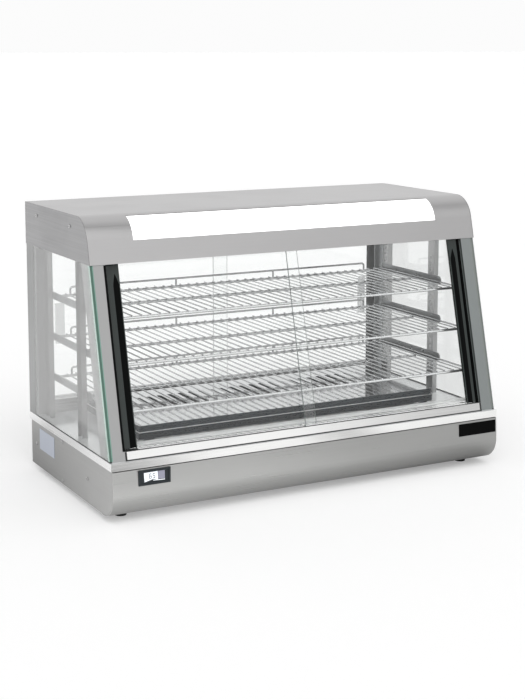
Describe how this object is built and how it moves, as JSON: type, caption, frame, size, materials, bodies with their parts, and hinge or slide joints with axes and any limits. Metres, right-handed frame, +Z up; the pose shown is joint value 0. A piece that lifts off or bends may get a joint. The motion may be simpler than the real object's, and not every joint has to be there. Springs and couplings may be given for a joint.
{
  "type": "heated display case",
  "caption": "Countertop heated food display case: steel base, glass sides, sloping front and sliding doors, wire shelves on slotted uprights and a rounded hood with a lit front panel.",
  "frame": {"origin": "on the counter, under the middle of the case's outer box", "axes": "+X to the customer's right along the case, +Y to the server's side, +Z up"},
  "size_m": [0.919, 0.48, 0.59],
  "materials": {
    "stainless": "fine brushed stainless sheet",
    "polished_deck": "bright rolled stainless sheet",
    "dark_steel": "heat-toned steel",
    "chrome_wire": "bright chrome on wire",
    "screw_steel": "bright zinc",
    "track_aluminium": "satin anodised",
    "black_profile": "black anodised, glossy",
    "glass": "clear float glass with a green edge",
    "lamp_glass": "frosted tube",
    "light_diffuser": "white translucent acrylic",
    "clear_plastic": "clear acrylic",
    "white_plastic": "moulded",
    "black_plastic": "moulded, fine texture",
    "gloss_black": "smooth gloss",
    "display": "clear lens over a plain panel",
    "amber_lens": "translucent lens",
    "green_rocker": "smooth gloss",
    "plate": "satin blank foil plate",
    "rubber": "matt"
  },
  "bodies": {
    "cabinet": {"base_tray": "stainless", "front_fascia": "stainless", "base_rear_panel": "stainless", "base_side_left": "stainless", "base_side_right": "stainless", "deck_plate": "polished_deck", "rubber_feet": "rubber", "case_screws": "screw_steel", "thermometer_case": "gloss_black", "thermometer_lens": "display", "name_plate": "gloss_black", "rating_plate": "plate", "heater_cover": "dark_steel", "heating_elements": "dark_steel", "terminal_block": "white_plastic", "thermostat_body": "black_plastic", "indicator_lamp": "amber_lens", "switch_frames": "black_plastic", "cable_gland": "black_plastic", "front_track_lower": "track_aluminium", "front_track_upper": "track_aluminium", "rear_track_lower": "track_aluminium", "rear_track_upper": "track_aluminium", "rear_post_left": "stainless", "rear_post_right": "stainless", "front_pillar_left": "stainless", "front_pillar_right": "stainless", "shelf_uprights_left": "stainless", "shelf_uprights_right": "stainless", "shelf_brackets_left": "stainless", "shelf_brackets_right": "stainless", "side_glass_left": "glass", "side_glass_right": "glass", "side_gaskets": "rubber", "hood_shell": "stainless", "hood_end_left": "stainless", "hood_end_right": "stainless", "light_panel": "light_diffuser", "ceiling_plate": "stainless", "lamp_tube": "lamp_glass", "lamp_holders": "white_plastic", "lamp_cover": "clear_plastic"},
    "front_left_door": {"front_door_left_glass": "glass", "front_door_left_profile": "black_profile"},
    "front_right_door": {"front_door_right_glass": "glass", "front_door_right_profile": "black_profile"},
    "rear_left_door": {"rear_door_left_glass": "glass", "rear_door_left_pull": "clear_plastic"},
    "rear_right_door": {"rear_door_right_glass": "glass", "rear_door_right_pull": "clear_plastic"},
    "thermostat_dial": {"thermostat_knob": "black_plastic", "thermostat_shaft": "screw_steel"},
    "power_rocker": {"power_switch_rocker": "green_rocker"},
    "light_rocker": {"light_switch_rocker": "gloss_black"},
    "top_rack": {"top_shelf": "chrome_wire", "top_shelf_fence": "chrome_wire"},
    "middle_rack": {"middle_shelf": "chrome_wire", "middle_shelf_fence": "chrome_wire"},
    "lower_rack": {"lower_shelf": "chrome_wire", "lower_shelf_fence": "chrome_wire"}
  },
  "joints": [
    {"name": "front_left_door_slide", "type": "slide", "parent": "cabinet", "child": "front_left_door", "axis": [1, 0, 0], "range_m": [0, 0.375]},
    {"name": "front_right_door_slide", "type": "slide", "parent": "cabinet", "child": "front_right_door", "axis": [1, 0, 0], "range_m": [-0.375, 0]},
    {"name": "rear_left_door_slide", "type": "slide", "parent": "cabinet", "child": "rear_left_door", "axis": [1, 0, 0], "range_m": [0, 0.357]},
    {"name": "rear_right_door_slide", "type": "slide", "parent": "cabinet", "child": "rear_right_door", "axis": [1, 0, 0], "range_m": [-0.357, 0]},
    {"name": "thermostat_turn", "type": "hinge", "parent": "cabinet", "child": "thermostat_dial", "pos_m": [-0.3, 0.217, 0.068], "axis": [0, -1, 0], "range_deg": [0, 270]},
    {"name": "power_switch_rock", "type": "hinge", "parent": "cabinet", "child": "power_rocker", "pos_m": [-0.205, 0.212, 0.068], "axis": [1, 0, 0], "range_deg": [0, 18]},
    {"name": "light_switch_rock", "type": "hinge", "parent": "cabinet", "child": "light_rocker", "pos_m": [-0.165, 0.212, 0.068], "axis": [1, 0, 0], "range_deg": [0, 18]},
    {"name": "top_shelf_lift", "type": "slide", "parent": "cabinet", "child": "top_rack", "axis": [0, 0, 1], "range_m": [0, 0.03]},
    {"name": "middle_shelf_lift", "type": "slide", "parent": "cabinet", "child": "middle_rack", "axis": [0, 0, 1], "range_m": [0, 0.03]},
    {"name": "lower_shelf_lift", "type": "slide", "parent": "cabinet", "child": "lower_rack", "axis": [0, 0, 1], "range_m": [0, 0.03]}
  ]
}
